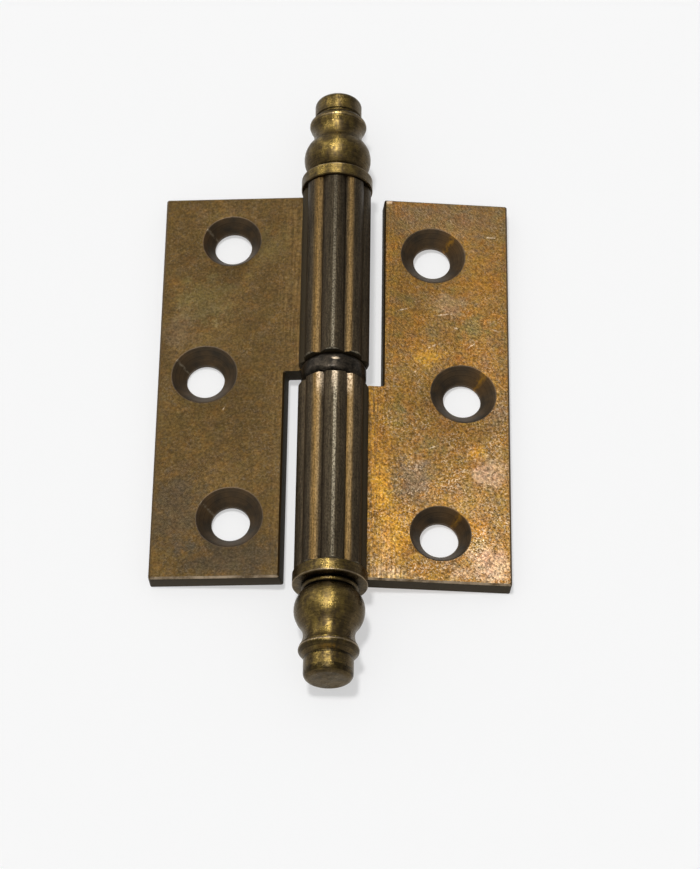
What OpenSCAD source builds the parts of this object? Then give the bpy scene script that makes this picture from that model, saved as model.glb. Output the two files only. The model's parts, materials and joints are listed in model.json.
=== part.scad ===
// Two-knuckle lift-off hinge in drawn brass: a reeded barrel, an urn finial at each end
// and three staggered countersunk screw holes in each leaf. It lies open with its countersinks up.
// X runs across the leaves, Y along the barrel and Z up. The origin is on the surface under the
// middle of the barrel.

/* [Leaves] */
// Length of each leaf along the barrel
leaf_length = 60; // [52:1:80]
// Reach of each leaf from the barrel's axis to its outer edge
leaf_reach = 24.2; // [22:0.1:32]
// Thickness of the leaves
leaf_thickness = 2.5; // [2:0.1:2.8]
// Depth of the countersunk face below the barrel's axis
leaf_drop = 0.8; // [0.4:0.1:1]
// How far the upper leaf stands past the lower one along the barrel
leaf_stagger = 0.2; // [0:0.1:1]
// Space beside a knuckle, up to the bevel on the other leaf's inner edge
cut_back_clearance = 2; // [1.6:0.1:4]
// Slope of the upper leaf's inner edge in its cut-back half, from upright
upper_edge_slope = 10; // [0:1:12]
// Slope of the lower leaf's inner edge in its cut-back half, from upright
lower_edge_slope = 2; // [0:1:12]
// Bevel on the edges of the countersunk face
edge_bevel = 0.25; // [0.1:0.05:0.4]
// How far the upper leaf's plate runs past the end of its knuckle
upper_lap = 0.1; // [0.1:0.1:1.1]
// How far the lower leaf's plate runs past the end of its knuckle
lower_lap = 0.9; // [0.1:0.1:1.1]

/* [Screw holes] */
// Diameter of the screw holes
hole_d = 5.2; // [4:0.1:6]
// Diameter of the countersinks at the leaf's face
countersink_d = 8.9; // [7.5:0.1:10]
// Diameter of the countersink beside the knuckle's end
small_countersink_d = 8.1; // [7:0.1:9]
// Straight length of a screw hole under its countersink
hole_land = 0.55; // [0.3:0.05:1]
// From the leaf's outer edge to the hole beside the knuckle's end
knuckle_hole_inset = 9.5; // [6:0.1:11]
// From the leaf's end to the hole beside the knuckle's end
knuckle_hole_margin = 7.25; // [6:0.05:12]
// From the leaf's outer edge to the middle hole
middle_hole_inset = 6.35; // [5.5:0.05:10]
// From the leaf's middle to the middle hole, towards the knuckle
middle_hole_shift = 1.15; // [0:0.05:4]
// From the leaf's outer edge to the hole in the cut-back half
far_hole_inset = 10.5; // [6:0.1:11]
// From the leaf's end to the hole in the cut-back half
far_hole_margin = 9; // [6:0.1:12]

/* [Barrel] */
// Diameter of the barrel over its reeds
barrel_d = 9.6; // [9:0.1:9.9]
// Diameter of one reed
reed_d = 3.5; // [3.2:0.1:3.8]
// Number of reeds round a knuckle
reed_count = 8; // [8:1:12]
// How much narrower the flat end of a knuckle is than its reeds, on each side
reed_relief = 0.3; // [0.1:0.05:0.5]
// Radius to which the ends of the reeds are domed
reed_dome_r = 7; // [6:0.5:10]
// Thickness of the washer between the knuckles
washer_t = 3.1; // [1.5:0.1:4]
// Diameter of the washer
washer_d = 8.9; // [8:0.1:9]
// Rounding of the washer's rim
washer_round = 1; // [0.5:0.05:1.1]

/* [Pin] */
// Diameter of the hinge pin
pin_d = 5; // [4:0.1:5.2]
// Chamfer on the ends of the pin
pin_chamfer = 0.6; // [0.3:0.1:1]
// Free space between an end of the pin and the spigot that faces it
pin_end_space = 0.6; // [0.3:0.1:2]
// Radial clearance of the pin in the knuckle and the washer that turn on it
running_clearance = 0.05; // [0.02:0.01:0.09]
// Radial clearance of a driven fit
seat_clearance = 0.01; // [0.01:0.005:0.03]
// Clearance on each face of the washer
face_clearance = 0.05; // [0.02:0.01:0.2]

/* [Finials] */
// Diameter of the plain collar against the knuckle
collar_d = 10; // [9.9:0.1:11]
// Length of the collar
collar_l = 1.8; // [1:0.05:2.5]
// Diameter of the groove that holds the bead
groove_d = 6.8; // [6.2:0.1:7.2]
// Width of the bead in the groove
bead_l = 0.8; // [0.5:0.05:1.2]
// Largest diameter of the urn
urn_d = 9.4; // [8.8:0.1:9.9]
// From the bead to the widest place of the urn
shoulder_l = 2.75; // [2:0.05:3.3]
// From the widest place of the urn to its neck
waist_l = 3.65; // [3.5:0.05:5]
// Diameter of the neck
neck_d = 6.8; // [6.2:0.1:7.2]
// From the neck to the rim that the urn's foot flares out to
flare_l = 1.6; // [1:0.05:2.5]
// Diameter of the rim
rim_d = 8.05; // [7.7:0.05:8.6]
// Width of the rounded rim
rim_l = 1; // [0.7:0.05:1.4]
// Length of the slope from the rim down to the button
rim_slope_l = 0.65; // [0.4:0.05:1.2]
// Diameter of the button on the end
button_d = 6.6; // [6.2:0.1:7]
// Length of the button
button_l = 3; // [1.5:0.05:4]
// Rounding of the button's end
button_round = 0.9; // [0.3:0.05:1.2]
// Length of the spigot that is driven into the knuckle
spigot_l = 8; // [5:0.5:10]

/* [Hidden] */
$fn = 96;

// Tone of drawn and tarnished brass, of turned brass, of the dark washer and of the steel pin
leaf_tone = "#8a6533";
finial_tone = "#86713a";
washer_tone = "#3c342c";
pin_tone = "#8d8f92";

// Overrun of a cutter past the face that it cuts
overrun = 0.5;
// Steps in one round stretch of a turned profile
arc_steps = 12;

// The barrel along its axis: half the space between the knuckles, and the knuckles' outer ends
half_gap = washer_t / 2 + face_clearance;
barrel_end = leaf_length / 2 + leaf_stagger / 2;
knuckle_l = barrel_end - half_gap;

// The barrel across its axis
barrel_r = barrel_d / 2;
reed_ring_r = barrel_r - reed_d / 2;
running_bore_r = pin_d / 2 + running_clearance;
driven_bore_r = pin_d / 2 + seat_clearance;
washer_r = washer_d / 2;
// Radius of the facing cut that frees the washer beside a plate that runs past its knuckle
facing_r = max(washer_r, barrel_r) + face_clearance;

// The leaves: the top of the inner edge of the cut-back half, and the depth of the back below the axis
cut_back = barrel_r + cut_back_clearance;
back_drop = leaf_drop + leaf_thickness;
countersink_depth = leaf_thickness - hole_land;

// At rest the collars and the outer edges of the leaves' backs stand on one surface,
// so each leaf slopes down from the axis by this angle
rest_r = max(collar_d, urn_d, barrel_d) / 2;
droop = asin(rest_r / norm([leaf_reach, back_drop])) - atan2(back_drop, leaf_reach);

// The pin reaches from one spigot to the other
pin_half_l = barrel_end - spigot_l - pin_end_space;

// The finial along its axis, from the knuckle's end
bead_s = collar_l + bead_l / 2;
shoulder_s = collar_l + bead_l;
belly_s = shoulder_s + shoulder_l;
neck_s = belly_s + waist_l;
rim_s = neck_s + flare_l;
slope_s = rim_s + rim_l;
button_s = slope_s + rim_slope_l;
finial_l = button_s + button_l;
// Step from the foot's flare up to the rim, depth of the line under the button and broken edges
rim_lip = 0.15;
button_line = 0.15;
turned_edge = 0.12;

// Points along an arc of a turned profile, given as [radius, place along the axis]
function arc(centre, r, from, to) =
    [for (i = [0:arc_steps]) let (a = from + (to - from) * i / arc_steps) centre + r * [cos(a), sin(a)]];

// Radius of an arc that rises by h over the length l and is level at one end
function crown_r(l, h) = (l * l + h * h) / (2 * h);

// Reeded section of a knuckle, with a reed at the top and one on the leaf's side
module reed_section() {
    circle(r = reed_ring_r);
    for (i = [0:reed_count - 1])
        rotate(i * 360 / reed_count)
            translate([reed_ring_r, 0])
                circle(d = reed_d);
}

// Round blank with domed ends, wide of the reeds between them
module knuckle_blank() {
    dome_s = sqrt(reed_dome_r * reed_dome_r - pow(barrel_r - reed_relief, 2));
    for (s = [dome_s, knuckle_l - dome_s])
        translate([0, 0, s])
            sphere(r = reed_dome_r);
    translate([0, 0, dome_s])
        cylinder(h = knuckle_l - 2 * dome_s, r = barrel_r + overrun);
}

// Reeded knuckle from the washer's side down the barrel
module knuckle() {
    translate([0, -half_gap, 0])
        rotate([90, 0, 0])
            intersection() {
                linear_extrude(knuckle_l)
                    reed_section();
                knuckle_blank();
            }
}

// Plate of a leaf with bevels on the edges of its countersunk face
module plate() {
    far_end = leaf_length - barrel_end;
    intersection() {
        // Outline seen from above
        translate([0, -barrel_end, -back_drop])
            cube([leaf_reach, leaf_length, leaf_thickness]);
        // Section across the leaf, with its outer edge bevelled
        translate([0, far_end + overrun, 0])
            rotate([90, 0, 0])
                linear_extrude(leaf_length + 2 * overrun)
                    polygon([
                        [-overrun, -back_drop - overrun],
                        [leaf_reach, -back_drop - overrun],
                        [leaf_reach, -leaf_drop - edge_bevel],
                        [leaf_reach - edge_bevel - overrun, -leaf_drop + overrun],
                        [-overrun, -leaf_drop + overrun]
                    ]);
        // Section along the leaf, with both ends bevelled
        translate([-overrun, 0, 0])
            rotate([90, 0, 90])
                linear_extrude(leaf_reach + 2 * overrun)
                    polygon([
                        [-barrel_end, -back_drop - overrun],
                        [far_end, -back_drop - overrun],
                        [far_end, -leaf_drop - edge_bevel],
                        [far_end - edge_bevel - overrun, -leaf_drop + overrun],
                        [-barrel_end + edge_bevel + overrun, -leaf_drop + overrun],
                        [-barrel_end, -leaf_drop - edge_bevel]
                    ]);
    }
}

// Cutter for the half beside the other knuckle, which leaves a sloping inner edge with a bevel
module cut_back_space(lap, slope) {
    cut_depth = leaf_thickness + overrun;
    translate([cut_back, lap - half_gap, -leaf_drop])
        rotate([-90, 0, 0])
            linear_extrude(leaf_length)
                polygon([
                    [-cut_back - overrun, -overrun],
                    [edge_bevel + overrun, -overrun],
                    [0, edge_bevel],
                    [(edge_bevel - cut_depth) * tan(slope), cut_depth],
                    [-cut_back - overrun, cut_depth]
                ]);
}

// Countersunk screw hole, cut from the face down
module screw_hole(x, y, sink_d) {
    slope = (sink_d - hole_d) / 2 / countersink_depth;
    translate([x, y, -back_drop - overrun])
        cylinder(h = leaf_thickness + 2 * overrun, d = hole_d);
    translate([x, y, -leaf_drop - countersink_depth])
        cylinder(
            h = countersink_depth + overrun,
            r1 = hole_d / 2,
            r2 = sink_d / 2 + slope * overrun
        );
}

// The three holes of a leaf
module screw_holes() {
    middle_y = leaf_length / 2 - barrel_end;
    screw_hole(leaf_reach - knuckle_hole_inset, knuckle_hole_margin - barrel_end, small_countersink_d);
    screw_hole(leaf_reach - middle_hole_inset, middle_y - middle_hole_shift, countersink_d);
    screw_hole(
        leaf_reach - far_hole_inset,
        leaf_length - barrel_end - far_hole_margin,
        countersink_d
    );
}

// Cylinder along the barrel between two places
module along_barrel(from_y, to_y, r) {
    translate([0, to_y, 0])
        rotate([90, 0, 0])
            cylinder(h = to_y - from_y, r = r);
}

// Leaf and knuckle in one piece, drawn on the +X side with its knuckle on the -Y side
module half_hinge(bore_r, lap, slope) {
    difference() {
        union() {
            knuckle();
            plate();
        }
        along_barrel(-barrel_end - overrun, lap, bore_r);
        along_barrel(-half_gap, lap, facing_r);
        cut_back_space(lap, slope);
        screw_holes();
    }
}

// Puts a half, drawn about the barrel's axis, down on the surface
module laid_down() {
    translate([0, 0, rest_r])
        rotate([0, droop, 0])
            children();
}

// Finial with its spigot, turned in one piece, from the knuckle's end up
module finial(bore_r) {
    collar_r = collar_d / 2;
    groove_r = groove_d / 2;
    belly_r = urn_d / 2;
    neck_r = neck_d / 2;
    rim_r = rim_d / 2;
    button_r = button_d / 2;
    spigot_r = bore_r - seat_clearance;
    // The shoulder is one arc with the belly, and the waist's hollow meets it without a corner
    belly_round = crown_r(shoulder_l, belly_r - groove_r);
    waist_round = crown_r(waist_l, belly_r - neck_r) - belly_round;
    shoulder_angle = asin(shoulder_l / belly_round);
    waist_angle = asin(waist_l / (belly_round + waist_round));
    // The foot flares from the neck to just under the rim
    flare_rise = rim_r - rim_lip - neck_r;
    flare_round = crown_r(flare_l, flare_rise);
    flare_angle = asin(flare_l / flare_round);
    rotate_extrude()
        polygon(concat(
            [
                [0, -spigot_l],
                [spigot_r - pin_chamfer, -spigot_l],
                [spigot_r, -spigot_l + pin_chamfer],
                [spigot_r, 0],
                [collar_r - turned_edge, 0],
                [collar_r, turned_edge],
                [collar_r, collar_l - turned_edge],
                [collar_r - turned_edge, collar_l]
            ],
            arc([groove_r, bead_s], bead_l / 2, -90, 90),
            arc([belly_r - belly_round, belly_s], belly_round, -shoulder_angle, waist_angle),
            arc([neck_r + waist_round, neck_s], waist_round, 180 + waist_angle, 180),
            arc([neck_r + flare_round, neck_s], flare_round, 180, 180 - flare_angle),
            arc([rim_r - rim_l / 2, rim_s + rim_l / 2], rim_l / 2, -45, 45),
            [
                [button_r - button_line, button_s],
                [button_r - button_line, button_s + button_line],
                [button_r, button_s + 2 * button_line]
            ],
            arc([button_r - button_round, finial_l - button_round], button_round, 0, 90),
            [[0, finial_l]]
        ));
}

// Left leaf with the upper knuckle, which turns on the pin and lifts off it
module upper_leaf() {
    color(leaf_tone)
        rotate([0, 0, 180])
            laid_down()
                half_hinge(running_bore_r, upper_lap, upper_edge_slope);
}

// Right leaf with the lower knuckle, which holds the pin
module lower_leaf() {
    color(leaf_tone)
        laid_down()
            half_hinge(driven_bore_r, lower_lap, lower_edge_slope);
}

// Steel pin with chamfered ends
module hinge_pin() {
    pin_r = pin_d / 2;
    color(pin_tone)
        translate([0, 0, rest_r])
            rotate([90, 0, 0])
                rotate_extrude()
                    polygon([
                        [0, -pin_half_l],
                        [pin_r - pin_chamfer, -pin_half_l],
                        [pin_r, -pin_half_l + pin_chamfer],
                        [pin_r, pin_half_l - pin_chamfer],
                        [pin_r - pin_chamfer, pin_half_l],
                        [0, pin_half_l]
                    ]);
}

// Washer with a rounded rim between the two knuckles
module thrust_washer() {
    round_s = washer_t / 2 - washer_round;
    round_c = washer_r - washer_round;
    color(washer_tone)
        translate([0, 0, rest_r])
            rotate([90, 0, 0])
                rotate_extrude()
                    polygon(concat(
                        [[running_bore_r, -washer_t / 2]],
                        arc([round_c, -round_s], washer_round, -90, 0),
                        arc([round_c, round_s], washer_round, 0, 90),
                        [[running_bore_r, washer_t / 2]]
                    ));
}

// Finial on the upper knuckle
module upper_finial() {
    color(finial_tone)
        translate([0, barrel_end, rest_r])
            rotate([-90, 0, 0])
                finial(running_bore_r);
}

// Finial on the lower knuckle
module lower_finial() {
    color(finial_tone)
        translate([0, -barrel_end, rest_r])
            rotate([90, 0, 0])
                finial(driven_bore_r);
}

upper_leaf();
lower_leaf();
hinge_pin();
thrust_washer();
upper_finial();
lower_finial();
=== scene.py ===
import json
import math

import bmesh
import bpy
from mathutils import Matrix, Vector


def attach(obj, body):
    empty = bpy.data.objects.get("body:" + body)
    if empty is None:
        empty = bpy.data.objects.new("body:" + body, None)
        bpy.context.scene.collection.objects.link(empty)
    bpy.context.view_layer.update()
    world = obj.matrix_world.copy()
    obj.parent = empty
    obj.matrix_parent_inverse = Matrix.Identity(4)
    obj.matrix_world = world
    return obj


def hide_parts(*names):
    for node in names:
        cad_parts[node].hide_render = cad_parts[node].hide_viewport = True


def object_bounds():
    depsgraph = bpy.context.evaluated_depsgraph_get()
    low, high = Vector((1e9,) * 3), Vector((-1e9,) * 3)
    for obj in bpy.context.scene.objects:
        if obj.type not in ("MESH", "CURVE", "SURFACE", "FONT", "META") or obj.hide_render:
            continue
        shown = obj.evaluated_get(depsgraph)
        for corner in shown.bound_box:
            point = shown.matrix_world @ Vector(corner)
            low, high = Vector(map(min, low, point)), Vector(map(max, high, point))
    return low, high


bl_info = {
    "name": "Lift-off hinge",
    "version": (1, 0, 0),
    "blender": (4, 5, 0),
    "location": "View3D > Sidebar > Hinge",
    "description": "Dresses a reeded lift-off hinge in tarnished brass and lays it on a pale table",
    "category": "Object",
}

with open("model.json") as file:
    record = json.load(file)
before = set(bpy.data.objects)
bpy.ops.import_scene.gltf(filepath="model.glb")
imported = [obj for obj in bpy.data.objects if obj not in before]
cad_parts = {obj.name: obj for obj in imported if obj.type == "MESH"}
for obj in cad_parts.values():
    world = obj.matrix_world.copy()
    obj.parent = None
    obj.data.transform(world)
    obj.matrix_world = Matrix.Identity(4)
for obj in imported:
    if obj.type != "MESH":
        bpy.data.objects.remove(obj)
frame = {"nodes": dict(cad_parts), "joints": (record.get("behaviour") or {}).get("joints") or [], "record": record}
CAD_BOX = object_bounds()

MM = 0.001

# The barrel's axis, from the joint that the upper leaf swings on
SWING = next(joint for joint in frame["joints"] if joint["type"] == "hinge")
AXIS_POINT = Vector(SWING["pos_m"])
AXIS = Vector(SWING["axis"])

# From the imported record: the holes, and the body of each node
MOUNTS = {mount["name"]: mount for mount in frame["record"]["mounts"]}
BODY_OF = {node: body for body, nodes in frame["record"]["behaviour"]["bodies"].items() for node in nodes}

# The photograph's longer side, in pixels
PHOTO_LONG_SIDE = 869

# Sizes by which the faces of the leaves are told apart: over the reeds, and round a countersink
BARREL_R = 4.8 * MM
SINK_R = 4.6 * MM

# Cosines for a face that looks straight along a direction: all but exactly, and as near as a worn edge allows
STRAIGHT = 0.999
NEARLY_STRAIGHT = 0.99

# Edges that bend more than this stay sharp
SHARP_FROM = math.radians(30)

# Map on the countersinks: the angle round the hole in degrees, and the radius in millimetres
POLAR = "polar"

# What tarnish and use left on the faces of the leaves, in millimetres on the hinge as it lies, with a painted highlight
# and a darkening towards the bottom among the patches. A patch has its middle, its half widths, its tone and its share.
# A scratch has its middle, its turn in degrees and its half length. Bare lines, where the lines that the die drew are
# rubbed bright, have their middle, half widths and share.
DULL_FACE = {
    "patches": (
        ((-18, 13), (4, 4), "olive", 0.3),
        ((-10, 22), (4, 3), "olive", 0.2),
        ((-21.5, 8), (2.5, 3), "bloom", 0.3),
        # These two make the left leaf darker towards its bottom
        ((-21, -20), (4, 6), "dark_tarnish", 0.45),
        ((-12, -27), (9, 3), "dark_tarnish", 0.5),
    ),
    "scratches": (((-14.9, -4.2), 60, 0.4),),
    "bare_lines": (),
}
GOLDEN_FACE = {
    "patches": (
        ((15, 27), (12, 3.5), "bloom", 0.45),
        ((16, -7), (9, 10), "golden_tarnish", 0.35),
        ((17, -8), (10, 9), "dull_brass", 0.27),
        # A painted highlight on the worn, rounded tip of the leaf's top inner corner
        ((7.3, 29.7), (0.6, 0.5), "pale_brass", 0.7),
        ((6.5, -9), (1.6, 9), "golden_tarnish", 0.8),
        ((6.5, -16.5), (1.6, 4), "bright_gold", 1.0),
        ((8.2, -23.5), (3, 4.5), "bright_gold", 0.9),
        ((10.8, -14.8), (3, 3.5), "bloom", 0.75),
        ((12.8, -9.3), (2, 1.6), "olive", 0.5),
        ((8.2, -5), (1.8, 1.8), "olive", 0.5),
        ((19.1, 9.8), (2.2, 2.2), "olive", 0.6),
        ((21.3, 16.8), (2.4, 2.2), "golden_tarnish", 0.8),
        ((15.4, 13), (2.4, 1.8), "pink", 0.4),
        ((13, 4.5), (2.2, 1.8), "bright_gold", 0.7),
        ((22.5, -4.2), (1.6, 2), "bloom", 0.5),
        ((19.4, -10.4), (1.4, 1.4), "bright_gold", 0.6),
        ((21.2, -13.5), (2.2, 2.4), "pink", 0.9),
        ((19.2, -22), (1.4, 1.6), "golden_tarnish", 0.7),
        ((21.5, -27), (3, 3), "pink", 0.9),
        ((14, -28.3), (2.5, 1.2), "golden_tarnish", 0.6),
        ((17.6, -28.4), (1.8, 1.2), "pink", 0.6),
    ),
    "scratches": (
        ((9.3, 11.8), 20, 1.2), ((15.1, 11.3), 8, 1.6), ((13.5, 6.1), 30, 1.2), ((16.7, 9.2), -15, 0.9),
        ((19, 6.6), 40, 1.0), ((22.3, 9.1), -20, 0.9), ((11, 1.8), 35, 1.0), ((21.7, 24.4), 3, 0.9),
        ((13.5, -9.8), 25, 0.9), ((20.4, -28.3), 2, 1.0), ((22.2, -28.7), 88, 1.1),
    ),
    "bare_lines": (((7, -26), (1.8, 4), 0.08), ((7.5, -29), (3, 0.9), 0.18)),
}
SCRATCH_HALF_WIDTH = 0.14

# Bands round a finial: from its end to the band's middle and the half width in millimetres, the share and the tone.
# Painted shade lies where the button rounds over, under it and behind the rim. The rim and the collar's edge carry
# painted highlights.
FINIAL_BANDS = (
    (0.75, 0.4, 0.75, "grime_and_shade"), (2.85, 0.22, 0.7, "grime_and_shade"), (3.8, 0.28, 0.55, "grime_and_shade"),
    (4.3, 0.13, 0.35, "pale_brass"), (13.61, 0.08, 0.3, "pale_brass"),
)

# The lamps: where each hangs from the hinge, in metres, its strength in watts (a sun's in watts per square metre),
# the angle that the sun fills, and the width and length of a strip
KEY_PLACE, KEY_STRENGTH, KEY_SPREAD = (-0.13, 0.02, 0.99), 1.65, math.radians(8)
STRIPS = (("strip_behind", (0.0, 0.42, 0.9), 3.2), ("strip_left", (-0.64, 0.45, 0.62), 1.5))
STRIP_SIZE = (0.1, 0.9)

# How much of what the eye and the brass see of the table is even light. The rest takes the hinge's shadow.
TABLE_GLOW = 0.5


def linear(code):
    """Turns an sRGB hex colour into the linear colour that Blender's shaders take."""
    parts = [int(code[i:i + 2], 16) / 255 for i in (1, 3, 5)]
    return [p / 12.92 if p <= 0.04045 else ((p + 0.055) / 1.055) ** 2.4 for p in parts]


def length(name, description, millimetres):
    """A length that the user can change, given in millimetres."""
    return bpy.props.FloatProperty(
        name=name, description=description, default=millimetres * MM, min=0, precision=5,
        subtype="DISTANCE", unit="LENGTH",
    )


def colour(name, description, code):
    """A colour that the user can change, given as an sRGB hex value."""
    return bpy.props.FloatVectorProperty(
        name=name, description=description, default=linear(code), min=0, max=1, size=3, subtype="COLOR",
    )


def angle(name, description, degrees):
    """An angle that the user can change, given in degrees."""
    return bpy.props.FloatProperty(
        name=name, description=description, default=math.radians(degrees), subtype="ANGLE", unit="ROTATION",
    )


class HingeSizes(bpy.types.PropertyGroup):
    """Small sizes of wear that the solids leave out"""
    rim_wear: length("Rim wear", "Width of the worn rim of a countersink", 0.12)
    corner_wear: length("Corner wear", "Rounding of a leaf's upright corners", 0.3)
    back_wear: length("Back edge wear", "Rounding of the edges of a leaf's back", 0.15)


class HingeColours(bpy.types.PropertyGroup):
    """Colours of the brass, of what grew on it, and of the light and shade painted on it"""
    # Partly tarnish and partly painted light: the right leaf's brass is painted as lit, the left leaf's as shaded
    dull_brass: colour("Dull brass", "Brass of the left leaf under its brown tarnish", "#4d3c1d")
    dull_tarnish: colour("Brown tarnish", "Brown tarnish on the left leaf", "#43331a")
    golden_brass: colour("Golden brass", "Brass of the right leaf", "#6d562b")
    golden_tarnish: colour("Orange tarnish", "Orange tarnish on the right leaf", "#7a541f")
    # Also the tone of the painted highlights in the right countersinks and the painted reflection on the finials' slope
    bright_gold: colour("Bright gold", "Brass of the right leaf beside its knuckle", "#9a6f24")
    bloom: colour("Purple bloom", "Grey purple bloom in the tarnish", "#5c4d3c")
    olive: colour("Olive bloom", "Olive bloom in the tarnish", "#5f5632")
    pink: colour("Pink bloom", "Pale pink bloom in the tarnish", "#93765a")
    # Also the tone of painted glints and highlights on the leaves, arrises, reeds, finials and washer
    pale_brass: colour("Rubbed brass", "Brass rubbed bare", "#f0d8b8")
    dark_tarnish: colour("Dark tarnish", "Nearly black tarnish where nothing rubs", "#37322a")
    arris: colour("Arris", "Tarnish on the arrises", "#5d4a2e")
    sawn: colour("Sawn edge", "Dark tarnish on the sawn edges", "#3b3222")
    sink_brown: colour("Countersink brown", "Brown tarnish in the countersinks", "#5f4b33")
    reed_brown: colour("Reed brown", "Brown of the uppermost reed", "#3b3326")
    reed_gold: colour("Reed gold", "Brass of the other reeds", "#68512d")
    # Painted shade on the reeds' sides
    reed_side_shade: colour("Reed side", "Dark brown of the reeds' sides", "#453b2c")
    # Also the painted highlight on the crests, on the rims of the reeds' ends and in the left countersinks
    reed_highlight_grey: colour("Reed grey", "Polished crest of the uppermost reed", "#b8ad94")
    turned_brass: colour("Turned brass", "Brass of the finials", "#8f783f")
    turned_tarnish: colour("Turned tarnish", "Brown tarnish on the finials", "#4e412b")
    glancing: colour("Glancing light", "Warm tint that a film of tarnish gives to glancing light", "#f2efe9")
    # Also the tone of the painted shade in grooves, in corners and under the finials' rims
    grime_and_shade: colour("Grime", "Old grime in grooves and corners", "#1e1a14")
    washer_brass: colour("Washer", "Dark brass of the washer", "#443c32")
    pin_steel: colour("Pin steel", "Steel of the pin", "#9a9c9f")
    table: colour("Table", "Pale surface under the hinge", "#fcfcfc")
    room_left: colour("Room on the left", "Paler side of the room round the hinge", "#b8b8b8")
    room_right: colour("Room on the right", "Darker side of the room round the hinge", "#9c9c9c")


class HingeStage(bpy.types.PropertyGroup):
    """Camera and table"""
    focal_pixels: bpy.props.FloatProperty(
        name="Focal length", description="Focal length in pixels of the photograph", default=3009.1, subtype="PIXEL",
    )
    elevation: angle("Elevation", "Angle of the view above the table", 60.71)
    azimuth: angle("Azimuth", "Turn of the view round the hinge", -0.03)
    roll: angle("Roll", "Turn of the picture about the line of sight", 0.899)
    distance: length("Distance", "From the camera to the point that it looks at", 405.4)
    target: bpy.props.FloatVectorProperty(
        name="Target", description="Point on the barrel's level that the camera looks at",
        default=(2.335 * MM, -9.01 * MM, AXIS_POINT.z), subtype="TRANSLATION", unit="LENGTH", precision=5,
    )
    floor_size: length("Floor size", "Width of the table", 8000)


def node(tree, kind, inputs=(), **settings):
    """Adds a node. Settings are its own fields, and inputs maps a socket to a value or to the socket or node that
    feeds it, a node by the first output that it uses. Sockets may go by number: a Map Range has its value at 0 and
    its two ranges at 1 to 4, and a Mix of colours its share at 0 and the colours at 6 and 7."""
    made = tree.nodes.new(kind)
    for field, value in settings.items():
        setattr(made, field, value)
    for key, value in dict(inputs).items():
        if isinstance(value, bpy.types.Node):
            value = next(output for output in value.outputs if output.enabled)
        if isinstance(value, bpy.types.NodeSocket):
            tree.links.new(value, made.inputs[key])
        else:
            made.inputs[key].default_value = value
    return made


def rgba(tone):
    """A linear colour with full alpha, as a colour socket takes it."""
    return (*tone, 1.0)


def cleared_tree(owner):
    """The emptied node tree of a new material or world."""
    owner.use_nodes = True
    owner.node_tree.nodes.clear()
    return owner.node_tree


def new_material(name):
    """An empty node material, its tree and the object's coordinates in millimetres."""
    material = bpy.data.materials.new(name)
    tree = cleared_tree(material)
    place = node(tree, "ShaderNodeTexCoord")
    mm = node(tree, "ShaderNodeVectorMath", {0: place.outputs["Object"], 3: 1 / MM}, operation="SCALE")
    return material, tree, mm


def laid_over(tree, base, tone, *shares):
    """A base colour with a tone laid over it, as much as the product of the shares says."""
    share, *others = shares
    for other in others:
        share = node(tree, "ShaderNodeMath", {0: share, 1: other}, operation="MULTIPLY")
    return node(tree, "ShaderNodeMix", {0: share, 6: base, 7: rgba(tone)}, data_type="RGBA")


def shaded(tree, base, pattern, least, most):
    """A base colour made darker and lighter by a pattern, least times where it is 0 and most times where it is 1."""
    shade = node(tree, "ShaderNodeMapRange", {0: pattern, 3: least, 4: most})
    return node(tree, "ShaderNodeMix", {0: 1.0, 6: base, 7: shade}, data_type="RGBA", blend_type="MULTIPLY")


def cloud(
    tree, where, size, low, high, least=0.0, most=1.0, detail=3.0, rough=0.55, shift=(0, 0, 0), stretch=(1, 1, 1),
):
    """Soft patches of about a size in millimetres, from least outside them to most inside. A shift keeps two patterns
    apart, and a stretch below 1 draws the patches out that way."""
    moved = node(tree, "ShaderNodeMapping", {"Vector": where, "Location": shift, "Scale": stretch})
    noise = node(
        tree, "ShaderNodeTexNoise",
        {"Vector": moved, "Scale": 1 / size, "Detail": detail, "Roughness": rough},
    )
    return node(tree, "ShaderNodeMapRange", {0: noise, 1: low, 2: high, 3: least, 4: most})


def hairline(tree, where, size, width, shift):
    """Thin wandering lines, as from scratches, whose bends are about a size in millimetres apart."""
    moved = node(tree, "ShaderNodeMapping", {"Vector": where, "Location": shift})
    noise = node(tree, "ShaderNodeTexNoise", {"Vector": moved, "Scale": 1 / size, "Detail": 1.0})
    off = node(tree, "ShaderNodeMath", {0: noise, 1: 0.5}, operation="SUBTRACT")
    off = node(tree, "ShaderNodeMath", {0: off}, operation="ABSOLUTE")
    return node(tree, "ShaderNodeMapRange", {0: off, 1: width / size, 2: 0.0})


def spot(tree, where, middle, reach, wander, turn=0.0):
    """From 0 outside to 1 inside a soft oval patch, whose outline wanders by a share of its reach."""
    local = node(tree, "ShaderNodeMapping", {
        "Vector": where, "Location": (*middle, 0), "Rotation": (0, 0, math.radians(turn)), "Scale": (*reach, 1),
    }, vector_type="TEXTURE")
    gap = node(tree, "ShaderNodeVectorMath", {0: local}, operation="LENGTH")
    bent = node(tree, "ShaderNodeMath", {0: gap, 1: wander}, operation="ADD")
    return node(tree, "ShaderNodeMapRange", {0: bent, 1: 1.3, 2: 0.4}, interpolation_type="SMOOTHSTEP")


def facing(tree, towards, low, high):
    """From 0 to 1 as the surface turns towards a direction on the piece, such as where light or shade is painted."""
    normal = node(tree, "ShaderNodeTexCoord").outputs["Normal"]
    turned = node(
        tree, "ShaderNodeVectorMath", {0: normal, 1: Vector(towards).normalized()}, operation="DOT_PRODUCT",
    )
    return node(tree, "ShaderNodeMapRange", {0: turned, 1: low, 2: high}, interpolation_type="SMOOTHSTEP")


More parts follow.
